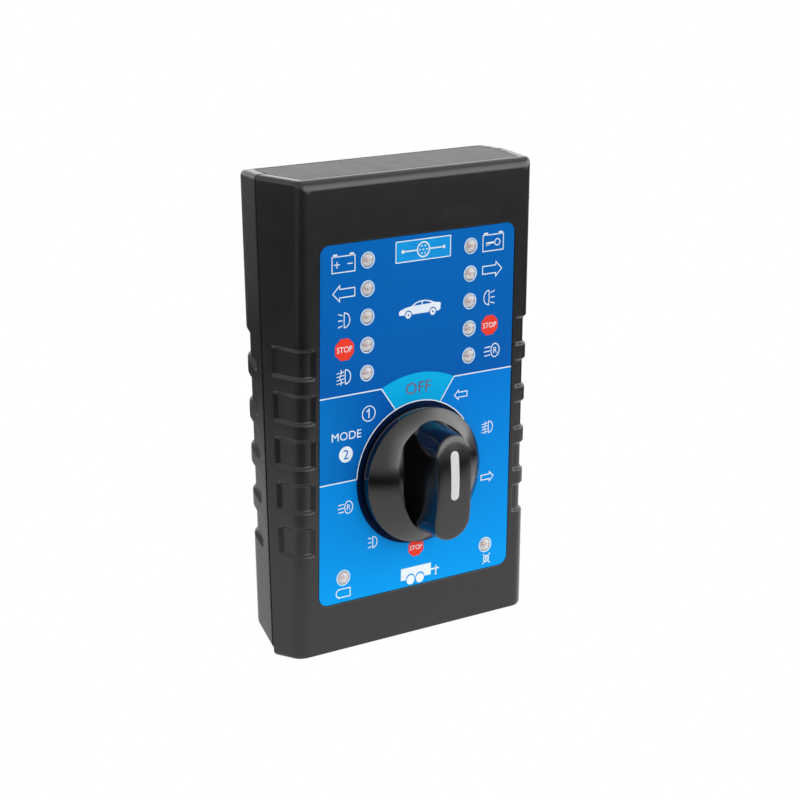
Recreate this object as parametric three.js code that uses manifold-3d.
// Hand-held trailer and towing-vehicle electrical tester, in millimetres.
// X runs to the right seen from the front, +Y runs from the front face into the unit, +Z is up the front face.
// Inside the "unit" group y = 0 is the front face and z = 0 the bottom end, and the group is shifted once,
// so that the row's origin is the bottom centre of the whole object's box.
import * as THREE from "three";
import { mergeVertices } from "three/addons/utils/BufferGeometryUtils.js";
import Module from "manifold-3d";

const wasm = await Module();
wasm.setup();

// Driving dimensions of the case.
const HALF_WIDTH = 46; // half the width at the parting line
const FACE_HALF_WIDTH = 42.5; // half the width at the front face
const REAR_HALF_WIDTH = 44.5; // half the width at the back face
const HEIGHT = 143.5;
const LOW_DEPTH = 9.1; // front face to parting line, at the bottom end
const TILT = THREE.MathUtils.degToRad(3.5); // the parting plane leans back from the front face
const REAR_DEPTH = 12.2; // parting line to back face
const WALL = 2.2;
const FACE_WALL = 2.5;
const GAP = 0.3; // clearance that touching pieces keep
const SEAM = 0.2; // half of the parting gap
const TOE_LOW = 1.83; // bottom of the rear shell at the parting line
const TOE_SLOPE = 0.49; // rise of the rear shell's bottom chamfer per mm of depth
const FACE_EDGE_R = 3;
const REAR_EDGE_R = 3.6;
const REAR_TOP_R = 1.8;

// Grip pockets.
const GRIP_COUNT = 5;
const GRIP_TOP_Z = 90.2;
const GRIP_PITCH = 13.42;
const GRIP_HALF_HEIGHT = 4.1;
const GRIP_DEPTH = 0.95;
const GRIP_FROM_SEAM = 4.1;
const GRIP_INNER_X = 37.4;
const GRIP_REAR_SLOPE = 0.5;

// Front face.
const LABEL = { width: 70.8, low: 15.6, high: 124.5, corner: 3, recess: 0.75, front: 0.15, thickness: 0.3 };
const LED = { columnX: 18.8, topZ: 118.85, pitch: 8.43, rows: 5, lowX: 26.8, lowZ: 23.3, radius: 2.05 };
const KNOB = { z: 51.7, height: 19, radius: 20.8, clear: 0.6, boreRadius: 3.4, boreDepth: 14.3 };

// Inside.
const BOARD = { front: 11, thickness: 1.6, halfWidth: 41, low: 20.4, high: 135.6 };
const BOARD_BACK = BOARD.front + BOARD.thickness;
const NOTCH = { halfWidth: 15.2, low: 77.5 };
const SCREW = { x: 38.5, lowZ: 16, highZ: 131, shank: 1.4, head: 2.8, sink: 6, length: 12 };
const POST = { x: 36, lowZ: 27, highZ: 117, radius: 2.7 };
const COVER = { halfWidth: 15.7, low: 76.3, high: 131.7, thickness: 1.2, rib: 2.6 };
const SOCKET = { halfWidth: 19.2, halfHeight: 3.9, flangeHalfWidth: 26.5, flangeHalfHeight: 5.7, screwX: 23.5 };

const partingY = (z) => LOW_DEPTH + Math.tan(TILT) * z;
const backY = (z) => partingY(z) + REAR_DEPTH;
const deepest = backY(HEIGHT - REAR_TOP_R);

// Materials.
const look = (color, roughness, metalness = 0) => new THREE.MeshStandardMaterial({ color, roughness, metalness });
const looks = {
  abs: look(0x1c1d1f, 0.45),
  gloss: look(0x0b0c0d, 0.15),
  label: look(0x0a6fc0, 0.35),
  white: look(0xdedbe0, 0.4),
  lens: look(0xe9e2e0, 0.1),
  steel: look(0xb8babd, 0.3, 1),
  brass: look(0xc8a24c, 0.35, 1),
  board: look(0x14603a, 0.5),
  chip: look(0x17181a, 0.5),
  phenolic: look(0x2a211b, 0.6),
  relay: look(0xd8d4c4, 0.5),
  foam: look(0x3a3b3d, 0.95),
  red: look(0xa81f1f, 0.5),
  black: look(0x101010, 0.5),
  ribbon: look(0x8d9298, 0.55),
  battery: look(0x3c4a58, 0.35),
};

// A geometry with shared vertices, turned so that its faces point out.
function welded(geometry) {
  const source = geometry.clone();
  source.deleteAttribute("normal");
  source.deleteAttribute("uv");
  const merged = mergeVertices(source, 1e-4);
  const p = merged.attributes.position;
  const index = merged.index.array;
  const [a, b, c] = [new THREE.Vector3(), new THREE.Vector3(), new THREE.Vector3()];
  let volume = 0;
  for (let i = 0; i < index.length; i += 3) {
    a.fromBufferAttribute(p, index[i]);
    b.fromBufferAttribute(p, index[i + 1]);
    c.fromBufferAttribute(p, index[i + 2]);
    volume += a.dot(b.cross(c));
  }
  if (volume < 0) {
    for (let i = 0; i < index.length; i += 3) [index[i], index[i + 1]] = [index[i + 1], index[i]];
  }
  return merged;
}

function solid(geometry) {
  const g = welded(geometry);
  const vertProperties = new Float32Array(g.attributes.position.array);
  const triVerts = new Uint32Array(g.index.array);
  return new wasm.Manifold(new wasm.Mesh({ numProp: 3, vertProperties, triVerts }));
}

function toGeometry(manifold) {
  const { vertProperties, triVerts } = manifold.getMesh();
  const geometry = new THREE.BufferGeometry();
  geometry.setAttribute("position", new THREE.BufferAttribute(new Float32Array(vertProperties), 3));
  geometry.setIndex(new THREE.BufferAttribute(new Uint32Array(triVerts), 1));
  geometry.computeVertexNormals();
  return geometry;
}

const join = (first, ...others) => others.reduce((sum, other) => sum.add(other), first);
const cut = (first, ...others) => others.reduce((rest, other) => rest.subtract(other), first);

// Primitives, given by where they lie.
function block(x0, x1, y0, y1, z0, z1) {
  const geometry = new THREE.BoxGeometry(x1 - x0, y1 - y0, z1 - z0);
  geometry.translate((x0 + x1) / 2, (y0 + y1) / 2, (z0 + z1) / 2);
  return solid(geometry);
}

// A round bar along Y, from y0 to y1.
function barY(x, z, radius, y0, y1, sides = 16) {
  const geometry = new THREE.CylinderGeometry(radius, radius, y1 - y0, sides);
  geometry.translate(x, (y0 + y1) / 2, z);
  return solid(geometry);
}

// A body of revolution about a line along Y; the profile is a list of [radius, y].
function turned(x, z, profile, sides) {
  const points = profile.map(([r, y]) => new THREE.Vector2(r, y));
  const geometry = new THREE.LatheGeometry(points, sides);
  geometry.translate(x, 0, z);
  return solid(geometry);
}

// A closed body through rings of equally many points, with a fan over each end.
function loft(rings) {
  const count = rings[0].length;
  const middle = (ring) => ring.reduce((sum, p) => sum.add(p), new THREE.Vector3()).divideScalar(count);
  const points = rings.flat().concat([middle(rings[0]), middle(rings.at(-1))]);
  const index = [];
  const lastRing = (rings.length - 1) * count;
  for (let k = 0; k < count; k++) {
    const next = (k + 1) % count;
    for (let start = 0; start < lastRing; start += count) {
      index.push(start + k, start + next, start + count + next);
      index.push(start + k, start + count + next, start + count + k);
    }
    index.push(points.length - 2, next, k, points.length - 1, lastRing + k, lastRing + next);
  }
  const geometry = new THREE.BufferGeometry().setFromPoints(points);
  geometry.setIndex(index);
  return solid(geometry);
}

// A flat outline in X and Z, given thickness along Y, with optional holes.
function plateXZ(outline, y0, y1, holes = []) {
  const shape = new THREE.Shape(outline.map(([x, z]) => new THREE.Vector2(x, z)));
  shape.holes = holes;
  const geometry = new THREE.ExtrudeGeometry(shape, { depth: y1 - y0, bevelEnabled: false, curveSegments: 5 });
  geometry.rotateX(Math.PI / 2);
  geometry.translate(0, y1, 0);
  return solid(geometry);
}

// A polygon in Y and Z, extruded along X.
function prismX(outline, x0, x1) {
  const shape = new THREE.Shape(outline.map(([y, z]) => new THREE.Vector2(y, z)));
  const geometry = new THREE.ExtrudeGeometry(shape, { depth: x1 - x0, bevelEnabled: false });
  geometry.rotateZ(Math.PI / 2);
  geometry.rotateY(Math.PI / 2);
  geometry.translate(x0, 0, 0);
  return solid(geometry);
}

const circlePath = (x, z, radius, sides) => {
  const path = new THREE.Path();
  path.setFromPoints(
    Array.from({ length: sides }, (_, i) => {
      const angle = (i / sides) * 2 * Math.PI;
      return new THREE.Vector2(x + radius * Math.cos(angle), z + radius * Math.sin(angle));
    }),
  );
  return path;
};

// Half the case's width at depth y and height z.
function halfWidthAt(y, z) {
  const seam = partingY(z);
  if (y <= seam) return HALF_WIDTH - (HALF_WIDTH - FACE_HALF_WIDTH) * (1 - y / seam);
  return HALF_WIDTH - ((HALF_WIDTH - REAR_HALF_WIDTH) * (y - seam)) / REAR_DEPTH;
}

// A ring of the case, a rounded rectangle in X and Z. depthAt gives y for a height z.
function caseRing(depthAt, { side = 0, low = 0, high = HEIGHT, corner = 1, steps = 2 }) {
  const ring = [];
  const corners = [
    [1, high - corner, 0],
    [-1, high - corner, 1],
    [-1, low + corner, 2],
    [1, low + corner, 3],
  ];
  for (const [sign, zc, quarter] of corners) {
    for (let i = 0; i <= steps; i++) {
      const angle = (quarter + i / steps) * (Math.PI / 2);
      const z = zc + corner * Math.sin(angle);
      const y = depthAt(z);
      const x = sign * (halfWidthAt(y, z) - side - corner) + corner * Math.cos(angle);
      ring.push(new THREE.Vector3(x, y, z));
    }
  }
  return ring;
}

const quarterSteps = (count) => Array.from({ length: count + 1 }, (_, i) => ((i / count) * Math.PI) / 2);

// The front moulding's outside, shrunk by inset on every side but the parting plane.
function frontBody(inset) {
  const rings = [caseRing((z) => partingY(z) - SEAM, { side: inset, low: inset, high: HEIGHT - inset })];
  for (const a of quarterSteps(3)) {
    const back = FACE_EDGE_R * (1 - Math.sin(a));
    const inward = FACE_EDGE_R * (1 - Math.cos(a)) + inset;
    const low = inset + 0.8 * (1 - Math.cos(a));
    rings.push(caseRing(() => back + inset, { side: inward, low, high: HEIGHT - inward, corner: 1.2 }));
  }
  return loft(rings);
}

// The rear moulding's outside, with its bottom chamfer, shrunk in the same way.
function rearBody(inset) {
  const ringAt = (depth, side, top) =>
    caseRing((z) => partingY(z) + depth, {
      side,
      low: TOE_LOW + TOE_SLOPE * depth + inset * 1.1,
      high: HEIGHT - top,
      corner: 1.2,
    });
  const rings = [ringAt(SEAM, inset, inset)];
  for (const a of quarterSteps(3)) {
    const forward = REAR_EDGE_R * (1 - Math.sin(a));
    const inward = REAR_EDGE_R * (1 - Math.cos(a)) + inset;
    const top = REAR_TOP_R * (1 - Math.cos(a)) + inset;
    rings.push(ringAt(REAR_DEPTH - forward - inset, inward, top));
  }
  return loft(rings);
}

// The hollow of the case, from the front wall to the back wall.
function hollow() {
  const high = HEIGHT - 6.5;
  const plain = { side: WALL, low: WALL, high, corner: 1 };
  const front = loft([caseRing(() => FACE_WALL, plain), caseRing((z) => partingY(z) + SEAM, plain)]);
  const rearRing = (depth) =>
    caseRing((z) => partingY(z) + depth, { side: WALL, low: TOE_LOW + WALL + TOE_SLOPE * depth, high, corner: 1 });
  return join(front, loft([rearRing(0), rearRing(REAR_DEPTH - WALL)]));
}

// The seat of the top end panel: its six-sided outline, drawn inset from the case's outside.
function panelOutline(inset) {
  const seam = partingY(HEIGHT);
  const back = backY(HEIGHT);
  const frontX = halfWidthAt(inset, HEIGHT) - inset;
  const backX = halfWidthAt(back, HEIGHT) - inset;
  return [
    [-frontX, inset],
    [frontX, inset],
    [HALF_WIDTH - inset, seam],
    [backX, back - inset],
    [-backX, back - inset],
    [inset - HALF_WIDTH, seam],
  ];
}

function panelPrism(inset, z0, z1) {
  const shape = new THREE.Shape(panelOutline(inset).map(([x, y]) => new THREE.Vector2(x, y)));
  const geometry = new THREE.ExtrudeGeometry(shape, { depth: z1 - z0, bevelEnabled: false });
  geometry.translate(0, 0, z0);
  return solid(geometry);
}

const PANEL = { inset: 3.7, tongueInset: 2.3, tongueLow: HEIGHT - 4.2, tongueHigh: HEIGHT - 2.8 };
const panelSeat = () =>
  join(
    panelPrism(PANEL.inset, HEIGHT - 8, HEIGHT + 1),
    panelPrism(PANEL.tongueInset, PANEL.tongueLow, PANEL.tongueHigh),
  );

const gripZs = Array.from({ length: GRIP_COUNT }, (_, i) => GRIP_TOP_Z - i * GRIP_PITCH);

// What the grip pockets take away: boxes round the front edges, down to GRIP_DEPTH below the surface.
function frontGrips() {
  const boxes = gripZs.flatMap((z) =>
    [-1, 1].map((side) => {
      const xs = [side * GRIP_INNER_X, side * (HALF_WIDTH + 2)].sort((a, b) => a - b);
      return block(...xs, -1, partingY(z) - GRIP_FROM_SEAM, z - GRIP_HALF_HEIGHT, z + GRIP_HALF_HEIGHT);
    }),
  );
  return join(...boxes).subtract(frontBody(GRIP_DEPTH));
}

// The rear pockets climb as they run back.
function rearGrips() {
  const reach = REAR_DEPTH + 2;
  const boxes = gripZs.flatMap((z) => {
    const start = partingY(z) + GRIP_FROM_SEAM;
    const end = partingY(z) + reach;
    const climb = GRIP_REAR_SLOPE * (reach - GRIP_FROM_SEAM);
    const outline = [
      [start, z - GRIP_HALF_HEIGHT],
      [end, z - GRIP_HALF_HEIGHT + climb],
      [end, z + GRIP_HALF_HEIGHT + climb],
      [start, z + GRIP_HALF_HEIGHT],
    ];
    return [prismX(outline, GRIP_INNER_X + 1, HALF_WIDTH + 2), prismX(outline, -HALF_WIDTH - 2, -GRIP_INNER_X - 1)];
  });
  return join(...boxes).subtract(rearBody(GRIP_DEPTH));
}

const corners = (x, lowZ, highZ) => [
  [-x, lowZ],
  [x, lowZ],
  [-x, highZ],
  [x, highZ],
];
const ledPlaces = [];
for (const side of [-1, 1]) {
  for (let row = 0; row < LED.rows; row++) ledPlaces.push([side * LED.columnX, LED.topZ - row * LED.pitch]);
}
ledPlaces.push([-LED.lowX, LED.lowZ], [LED.lowX, LED.lowZ]);

const labelOutline = (grow, steps = 3) => {
  const half = LABEL.width / 2 + grow;
  const r = LABEL.corner + grow;
  const [low, high] = [LABEL.low - grow, LABEL.high + grow];
  const centres = [
    [half - r, high - r],
    [r - half, high - r],
    [r - half, low + r],
    [half - r, low + r],
  ];
  return centres.flatMap(([x, z], quarter) =>
    Array.from({ length: steps + 1 }, (_, i) => {
      const angle = (quarter + i / steps) * (Math.PI / 2);
      return [x + r * Math.cos(angle), z + r * Math.sin(angle)];
    }),
  );
};

// The lip on the rear shell that locates the two halves, and the step that takes it.
const lipRing = (inset, from, to, drop) => {
  const ring = (depth) =>
    caseRing((z) => partingY(z) + depth, { side: inset, low: TOE_LOW + inset, high: HEIGHT - drop, corner: 1 });
  return loft([ring(from), ring(to)]);
};

function frontShell() {
  const bosses = corners(SCREW.x, SCREW.lowZ, SCREW.highZ).map(([x, z]) =>
    barY(x, z, 3.6, 1.5, partingY(z) - 1, 12),
  );
  const posts = corners(POST.x, POST.lowZ, POST.highZ).map(([x, z]) =>
    barY(x, z, POST.radius, 1.5, BOARD.front - GAP, 12),
  );
  const pilots = corners(SCREW.x, SCREW.lowZ, SCREW.highZ).map(([x, z]) =>
    barY(x, z, SCREW.shank + GAP, partingY(z) - 7.2, partingY(z) + 1, 10),
  );
  const boardPilots = corners(POST.x, POST.lowZ, POST.highZ).map(([x, z]) => barY(x, z, 1.4, 5.5, 12, 10));
  const ledHoles = ledPlaces.map(([x, z]) => barY(x, z, LED.radius + 0.35, -1, 4, 10));
  const shell = cut(
    frontBody(0),
    frontGrips(),
    hollow(),
    panelSeat(),
    lipRing(0.95, -1.9, 1, 8),
    plateXZ(labelOutline(0.15), -1, LABEL.recess),
  );
  return cut(
    join(shell, ...bosses, ...posts),
    ...pilots,
    ...boardPilots,
    ...ledHoles,
    barY(0, KNOB.z, 4.9, -1, 4),
  );
}

// The frame of the battery: z runs up the back face, y = 0 is its surface.
const rearFrame = new THREE.Group();
rearFrame.position.set(0, backY(0), 0);
rearFrame.rotation.x = -TILT;
rearFrame.updateMatrix();

// The frame of the socket: z points out of the bottom chamfer, from the middle of its surface.
const toeMiddle = 6.1;
const toeZ = TOE_LOW + TOE_SLOPE * toeMiddle;
const socketFrame = new THREE.Group();
socketFrame.position.set(0, partingY(toeZ) + toeMiddle, toeZ);
socketFrame.rotation.x = Math.atan2(TOE_SLOPE, 1 + Math.tan(TILT) * TOE_SLOPE) - Math.PI;
socketFrame.updateMatrix();

const inFrame = (frame, manifold) => solid(toGeometry(manifold).applyMatrix4(frame.matrix));

// A closed body along Z in the frame of the socket or the battery.
function barZ(x, y, radius, z0, z1, sides = 12) {
  const geometry = new THREE.CylinderGeometry(radius, radius, z1 - z0, sides);
  geometry.rotateX(Math.PI / 2);
  geometry.translate(x, y, (z0 + z1) / 2);
  return solid(geometry);
}

function backShell() {
  const lip = lipRing(1.25, -1.5, 1, 8.6).subtract(lipRing(WALL, -3, 3, 7));
  const places = corners(SCREW.x, SCREW.lowZ, SCREW.highZ);
  const towers = places.map(([x, z]) => barY(x, z, 4, partingY(z) + GAP, backY(z) - 1, 12));
  const shafts = places.map(([x, z]) => barY(x, z, SCREW.shank + GAP, partingY(z) - 2, backY(z) + 1, 10));
  const sinks = places.map(([x, z]) => barY(x, z, SCREW.head + GAP, backY(z) - SCREW.sink, backY(z) + 2, 12));
  const { halfWidth, low, high, thickness } = COVER;
  const battery = join(
    block(-halfWidth - GAP, halfWidth + GAP, -thickness - GAP, 3, low - GAP, high + GAP),
    block(-halfWidth + 1.1, halfWidth - 1.1, -4, 1, low + 1.1, high - 1.1),
  );
  const socket = join(
    block(-SOCKET.halfWidth - 0.5, SOCKET.halfWidth + 0.5, -SOCKET.halfHeight - 0.5, SOCKET.halfHeight + 0.5, -4, 3),
    barZ(SOCKET.screwX, 0, 3.1, -4, 3),
    barZ(-SOCKET.screwX, 0, 3.1, -4, 3),
  );
  const shell = join(cut(rearBody(0), rearGrips(), hollow()), lip);
  return cut(
    join(shell, ...towers),
    panelSeat(),
    ...shafts,
    ...sinks,
    inFrame(rearFrame, battery),
    inFrame(socketFrame, socket),
  );
}

function topEndPanel() {
  return join(
    panelPrism(PANEL.inset + 0.25, HEIGHT - 3.4, HEIGHT),
    panelPrism(PANEL.tongueInset + GAP, PANEL.tongueLow + GAP, PANEL.tongueHigh - GAP),
  );
}

function labelOverlay() {
  const holes = ledPlaces.map(([x, z]) => circlePath(x, z, LED.radius + 0.35, 10));
  holes.push(circlePath(0, KNOB.z, 5, 16));
  return plateXZ(labelOutline(0), LABEL.front, LABEL.front + LABEL.thickness, holes);
}

// A 4 mm lamp: domed lens, flange and two legs that reach down to the board.
function lamp(x, z) {
  const r = LED.radius;
  const profile = [[0, -1.5]];
  for (const a of [0.5, 1]) profile.push([r * Math.sin(a), r - 1.5 - r * Math.cos(a)]);
  profile.push([r, 1.2], [r, 6.2], [r + 0.4, 6.2], [r + 0.4, 7.2], [0, 7.2]);
  const leg = (dz) => block(x - 0.25, x + 0.25, 7, BOARD.front - GAP, z + dz - 0.25, z + dz + 0.25);
  return join(turned(x, z, profile, 8), leg(-1.27), leg(1.27));
}

// One ring of the knob's grip, a rounded bar at height h above the face.
function gripRing(h, halfLength, halfWidth) {
  const ring = [];
  const steps = 5;
  for (const end of [0, 1]) {
    for (let i = 0; i <= steps; i++) {
      const angle = (end + i / steps) * Math.PI;
      const z = KNOB.z + (end ? -1 : 1) * (halfLength - halfWidth) + halfWidth * Math.sin(angle);
      ring.push(new THREE.Vector3(halfWidth * Math.cos(angle), -h, z));
    }
  }
  return ring;
}

const POINTER = { low: 47.7, high: 62.7, halfWidth: 1.55, sink: 0.9 };
const pointerBar = (grow, y0, y1) =>
  block(
    -POINTER.halfWidth - grow,
    POINTER.halfWidth + grow,
    y0,
    y1,
    POINTER.low - grow,
    POINTER.high + grow,
  );

function selectorKnob() {
  const flank = [
    [0, -KNOB.clear],
    [20.2, -KNOB.clear],
    [KNOB.radius, -1.2],
    [KNOB.radius, -3.7],
    [20.4, -4.1],
    [17, -6.9],
    [13, -9],
    [9.3, -9.6],
    [0, -9.6],
  ];
  const grip = loft([
    gripRing(2, 18.6, 7.3),
    gripRing(10, 17.4, 6.9),
    gripRing(17.6, 15.9, 6.3),
    gripRing(KNOB.height, 15, 5.6),
  ]);
  return cut(
    join(turned(0, KNOB.z, flank, 32), grip),
    barY(0, KNOB.z, 9.2, -5.1, 1, 20),
    barY(0, KNOB.z, KNOB.boreRadius, -KNOB.boreDepth, 1, 16),
    barZ(0, -7.4, 1.8, KNOB.z - 22, KNOB.z - 2, 8),
    pointerBar(0.25, -KNOB.height - 1, -KNOB.height + POINTER.sink + 0.25),
  );
}

// The rotary switch behind the face, drawn about its own axis.
const SWITCH = { radius: 13, front: 4.3, back: 10.7, cavity: 10.8, indexCount: 10 };

function switchBushing() {
  const profile = [
    [3.4, -4.8],
    [4.5, -4.8],
    [4.5, 2.8],
    [9, 2.8],
    [9, 4],
    [3.4, 4],
    [3.4, -4.8],
  ];
  return turned(0, KNOB.z, profile, 16);
}

function switchNut() {
  const hex = barY(0, KNOB.z, 7, -3.4, -1.1, 6);
  return hex.subtract(barY(0, KNOB.z, 4.8, -5, 1, 16));
}

function switchWasher() {
  return barY(0, KNOB.z, 7.4, -0.8, -0.15, 16).subtract(barY(0, KNOB.z, 4.8, -2, 2, 16));
}

function switchBody() {
  const notches = Array.from({ length: SWITCH.indexCount }, (_, i) => {
    const angle = (i / SWITCH.indexCount) * 2 * Math.PI;
    const [x, z] = [SWITCH.cavity * Math.sin(angle), SWITCH.cavity * Math.cos(angle)];
    return barY(x, KNOB.z + z, 0.9, 5.8, 8.6, 8);
  });
  return cut(
    barY(0, KNOB.z, SWITCH.radius, SWITCH.front, SWITCH.back, 24),
    barY(0, KNOB.z, SWITCH.cavity, 5.6, SWITCH.back + 1, 24),
    barY(0, KNOB.z, 3.5, 2, 8, 16),
    ...notches,
  );
}

const switchShaft = () => barY(0, KNOB.z, 3, -14, 5.7, 16);

function switchRotor() {
  return barY(0, KNOB.z, 9.7, 6, 8.4, 20).subtract(barZ(0, 7.2, 1.15, KNOB.z - 12, KNOB.z - 4, 8));
}

function contactWiper() {
  const spoke = (angle) => {
    const geometry = new THREE.BoxGeometry(2, 0.4, 8.8);
    geometry.translate(0, 0, 4.2);
    geometry.rotateY(angle);
    geometry.translate(0, 8.9, KNOB.z);
    return solid(geometry);
  };
  return join(barY(0, KNOB.z, 2.4, 8.7, 9.1, 12), spoke(0), spoke(Math.PI));
}

function indexBall() {
  const geometry = new THREE.SphereGeometry(0.8, 8, 6);
  geometry.translate(0, 7.2, KNOB.z - 9.2);
  return solid(geometry);
}

const indexSpring = () => barZ(0, 7.2, 0.6, KNOB.z - 8, KNOB.z - 4.3, 8);

function terminalPlate() {
  const pins = Array.from({ length: SWITCH.indexCount }, (_, i) => {
    const angle = (i / SWITCH.indexCount) * 2 * Math.PI;
    return barY(8.2 * Math.sin(angle), KNOB.z + 8.2 * Math.cos(angle), 0.5, 10, SWITCH.back, 6);
  });
  return join(barY(0, KNOB.z, SWITCH.cavity - 0.5, 9.5, 10.3, 20), ...pins);
}

// Circuit board with the notch for the battery box and holes for its four screws.
function mainBoard() {
  const { halfWidth: w, low, high } = BOARD;
  const n = NOTCH;
  const cornerX = SCREW.x - 5;
  const cornerZ = SCREW.highZ - 5;
  const outline = [
    [-w, low],
    [w, low],
    [w, cornerZ],
    [cornerX, cornerZ],
    [cornerX, high],
    [n.halfWidth, high],
    [n.halfWidth, n.low],
    [-n.halfWidth, n.low],
    [-n.halfWidth, high],
    [-cornerX, high],
    [-cornerX, cornerZ],
    [-w, cornerZ],
  ];
  const holes = corners(POST.x, POST.lowZ, POST.highZ).map(([x, z]) => circlePath(x, z, 1.4, 10));
  return plateXZ(outline, BOARD.front, BOARD_BACK, holes);
}

const boardScrew = (x, z) =>
  join(barY(x, z, 2.3, BOARD_BACK + GAP, BOARD_BACK + 1.9, 12), barY(x, z, 1.05, 6, BOARD_BACK + 1, 8));

function caseScrew(x, z) {
  const seat = backY(z) - SCREW.sink + GAP;
  return join(barY(x, z, SCREW.head, seat, seat + 2.2, 12), barY(x, z, SCREW.shank - 0.05, seat - SCREW.length, seat + 1, 10));
}

// A component that stands on the rear of the board: centre, size and height.
const onBoard = (x, z, width, height, rise) =>
  block(x - width / 2, x + width / 2, BOARD_BACK + GAP, BOARD_BACK + GAP + rise, z - height / 2, z + height / 2);

// A tube through a list of points; sides are few because the leads are thin.
function wire(points, radius) {
  const curve = new THREE.CatmullRomCurve3(points.map((p) => new THREE.Vector3(...p)));
  const section = new THREE.Shape(
    Array.from({ length: 8 }, (_, i) => {
      const angle = (i / 8) * 2 * Math.PI;
      return new THREE.Vector2(radius * Math.cos(angle), radius * Math.sin(angle));
    }),
  );
  return solid(new THREE.ExtrudeGeometry(section, { steps: 16, bevelEnabled: false, extrudePath: curve }));
}

function batteryLead(side) {
  const points = [
    [side * 8, 19.4, 134.4],
    [side * 9, 19.2, 136.6],
    [side * 15, 18.6, 137.3],
    [side * 20.5, 17.6, 135.8],
    [side * 22, 16.4, 130.6],
    [side * 22, 14.6, 127.6],
    [side * 22, BOARD_BACK + GAP, 127.6],
  ];
  return wire(points, 0.75);
}

// The flat cable from the rear of the socket up to its header on the board.
function ribbonCable() {
  const middle = new THREE.CatmullRomCurve3(
    [
      [0, 16.3, 14.8],
      [0, 17.4, 16.8],
      [0, 17.6, 20],
      [0, 17.3, 24],
      [0, 16.6, 27.6],
    ].map((p) => new THREE.Vector3(...p)),
  );
  const rings = middle.getPoints(12).map((p, i) => {
    const t = middle.getTangent(i / 12);
    const across = new THREE.Vector3(0, -t.z, t.y).multiplyScalar(0.45);
    const corner = (x, sign) => new THREE.Vector3(x, p.y + sign * across.y, p.z + sign * across.z);
    return [corner(-16.5, -1), corner(16.5, -1), corner(16.5, 1), corner(-16.5, 1)];
  });
  return loft(rings);
}

// Socket pieces, in the socket's own frame: z is the outward direction, z = 0 the outer surface.
function dSection(halfWidth, halfHeight, z0, z1) {
  const lean = halfHeight * 0.18;
  const shape = new THREE.Shape([
    new THREE.Vector2(-halfWidth + lean, -halfHeight),
    new THREE.Vector2(halfWidth - lean, -halfHeight),
    new THREE.Vector2(halfWidth, halfHeight),
    new THREE.Vector2(-halfWidth, halfHeight),
  ]);
  const geometry = new THREE.ExtrudeGeometry(shape, { depth: z1 - z0, bevelEnabled: false });
  geometry.translate(0, 0, z0);
  return solid(geometry);
}

function socketShell() {
  const { halfWidth: w, halfHeight: h, flangeHalfWidth: fw, flangeHalfHeight: fh, screwX } = SOCKET;
  return cut(
    join(dSection(w, h, -3, -0.3), block(-fw, fw, -fh, fh, -3.6, -2.7)),
    dSection(w - 0.6, h - 0.6, -5, 1),
    barZ(screwX, 0, 1.7, -5, 1),
    barZ(-screwX, 0, 1.7, -5, 1),
  );
}

const socketInsulator = () =>
  join(
    dSection(SOCKET.halfWidth - 0.9, SOCKET.halfHeight - 0.9, -5, -0.5),
    block(-19.5, 19.5, -4.4, 4.4, -9.4, -3.9),
  );

const jackscrew = (side) =>
  join(barZ(side * SOCKET.screwX, 0, 2.7, -2.4, -0.3, 6), barZ(side * SOCKET.screwX, 0, 1.35, -6.5, -2, 8));

// Battery pieces, in the frame of the back face: y = 0 is the outer surface, z runs up it.
const CELL = { halfWidth: 13, low: 79.4, high: 125.4, back: -3.9, front: -20.9 };

const battery = () =>
  join(
    block(-CELL.halfWidth, CELL.halfWidth, CELL.front, CELL.back, CELL.low, CELL.high),
    barZ(-6.3, -12.4, 2.8, CELL.high - 1, CELL.high + 2.4, 10),
    barZ(6.3, -12.4, 3.6, CELL.high - 1, CELL.high + 2.4, 6),
  );

const batterySnap = () => block(-12.6, 12.6, -16.6, -8.2, CELL.high + 2.7, CELL.high + 6.3);

const batteryTray = () =>
  cut(
    block(-14.6, 14.6, -22.3, -4.4, 77.8, 134.2),
    block(-13.4, 13.4, -21.2, 0, 79, 136),
  );

function batteryCover() {
  const { halfWidth: w, low, high, thickness, rib } = COVER;
  return join(
    block(-w, w, -thickness, 0, low, high),
    block(1.4 - w, w - 1.4, -rib, -thickness + 0.2, low + 1.4, high - 1.4),
  );
}

const batteryPad = () => block(-10, 10, CELL.back + GAP, -COVER.rib - GAP, 84, 120);

// The assembly.
const tester = new THREE.Group();
const unit = new THREE.Group();
unit.position.y = (KNOB.height - deepest) / 2;
tester.add(unit);
unit.add(rearFrame, socketFrame);

function put(name, manifold, material, parent = unit) {
  const mesh = new THREE.Mesh(toGeometry(manifold), material);
  mesh.name = name;
  parent.add(mesh);
}

put("front_shell", frontShell(), looks.abs);
put("back_shell", backShell(), looks.abs);
put("top_end_panel", topEndPanel(), looks.abs);
put("label_overlay", labelOverlay(), looks.label);
ledPlaces.forEach(([x, z], i) => put(`led_${i + 1}`, lamp(x, z), looks.lens));

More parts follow.
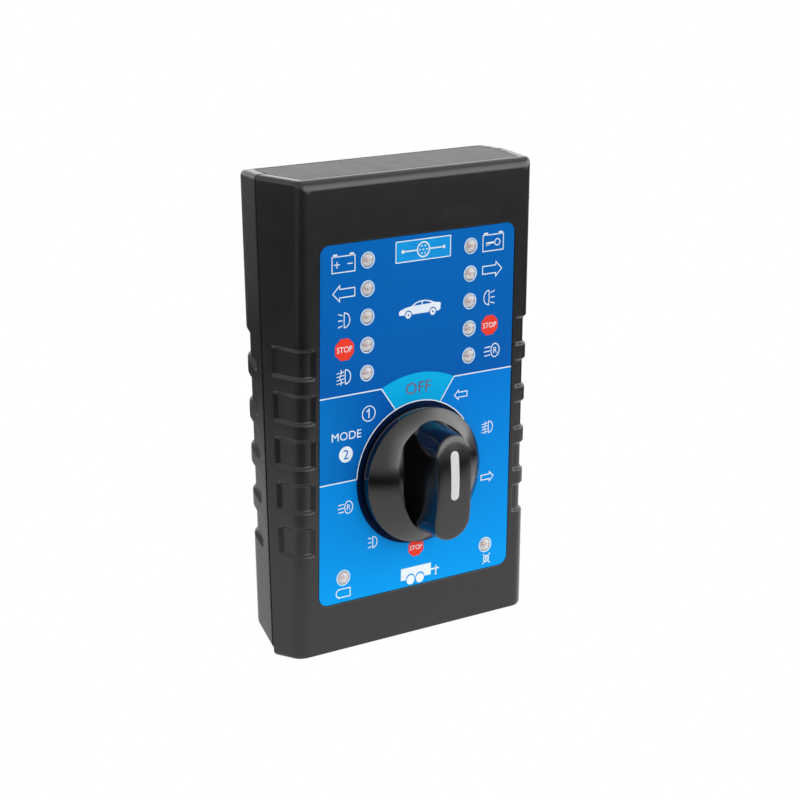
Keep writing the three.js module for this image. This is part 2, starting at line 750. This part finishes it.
put("selector_knob", selectorKnob(), looks.gloss);
put("pointer_inlay", pointerBar(0, -KNOB.height, -KNOB.height + POINTER.sink), looks.white);
put("knob_grub_screw", barZ(0, -7.4, 1.4, KNOB.z - 9.5, KNOB.z - 3.6, 8), looks.steel);
put("switch_bushing", switchBushing(), looks.brass);
put("switch_nut", switchNut(), looks.steel);
put("switch_washer", switchWasher(), looks.steel);
put("switch_body", switchBody(), looks.phenolic);
put("switch_shaft", switchShaft(), looks.steel);
put("switch_rotor", switchRotor(), looks.phenolic);
put("contact_wiper", contactWiper(), looks.brass);
put("index_ball", indexBall(), looks.steel);
put("index_spring", indexSpring(), looks.steel);
put("terminal_plate", terminalPlate(), looks.phenolic);

put("main_board", mainBoard(), looks.board);
corners(POST.x, POST.lowZ, POST.highZ).forEach(([x, z], i) =>
  put(`board_screw_${i + 1}`, boardScrew(x, z), looks.steel),
);
corners(SCREW.x, SCREW.lowZ, SCREW.highZ).forEach(([x, z], i) =>
  put(`case_screw_${i + 1}`, caseScrew(x, z), looks.steel),
);
put("controller_chip", onBoard(-24, 50, 12, 12, 1.6), looks.chip);
put("bus_driver_chip", onBoard(-24, 66, 6, 5, 1.5), looks.chip);
put("voltage_regulator", onBoard(24, 66, 10, 9, 4), looks.chip);
put("storage_capacitor", barY(10, 66, 4, BOARD_BACK + GAP, BOARD_BACK + 7.8, 14), looks.black);
[-1, 0, 1].forEach((place, i) => put(`relay_${i + 1}`, onBoard(28, 45 + place * 11, 14, 8, 5.4), looks.relay));
[-1, 1].forEach((side, i) => put(`resistor_network_${i + 1}`, onBoard(side * 27, 102, 3, 22, 4.5), looks.chip));

put("socket_shell", socketShell(), looks.steel, socketFrame);
put("socket_insulator", socketInsulator(), looks.black, socketFrame);
[-1, 1].forEach((side, i) => put(`jackscrew_${i + 1}`, jackscrew(side), looks.steel, socketFrame));
put("ribbon_cable", ribbonCable(), looks.ribbon);
put("ribbon_header", block(-19, 19, BOARD_BACK + GAP, 19.2, 28, 35), looks.black);

put("battery", battery(), looks.battery, rearFrame);
put("battery_snap", batterySnap(), looks.black, rearFrame);
put("battery_tray", batteryTray(), looks.abs, rearFrame);
put("battery_cover", batteryCover(), looks.abs, rearFrame);
put("battery_pad", batteryPad(), looks.foam, rearFrame);
put("battery_lead_red", batteryLead(1), looks.red);
put("battery_lead_black", batteryLead(-1), looks.black);

export default tester;
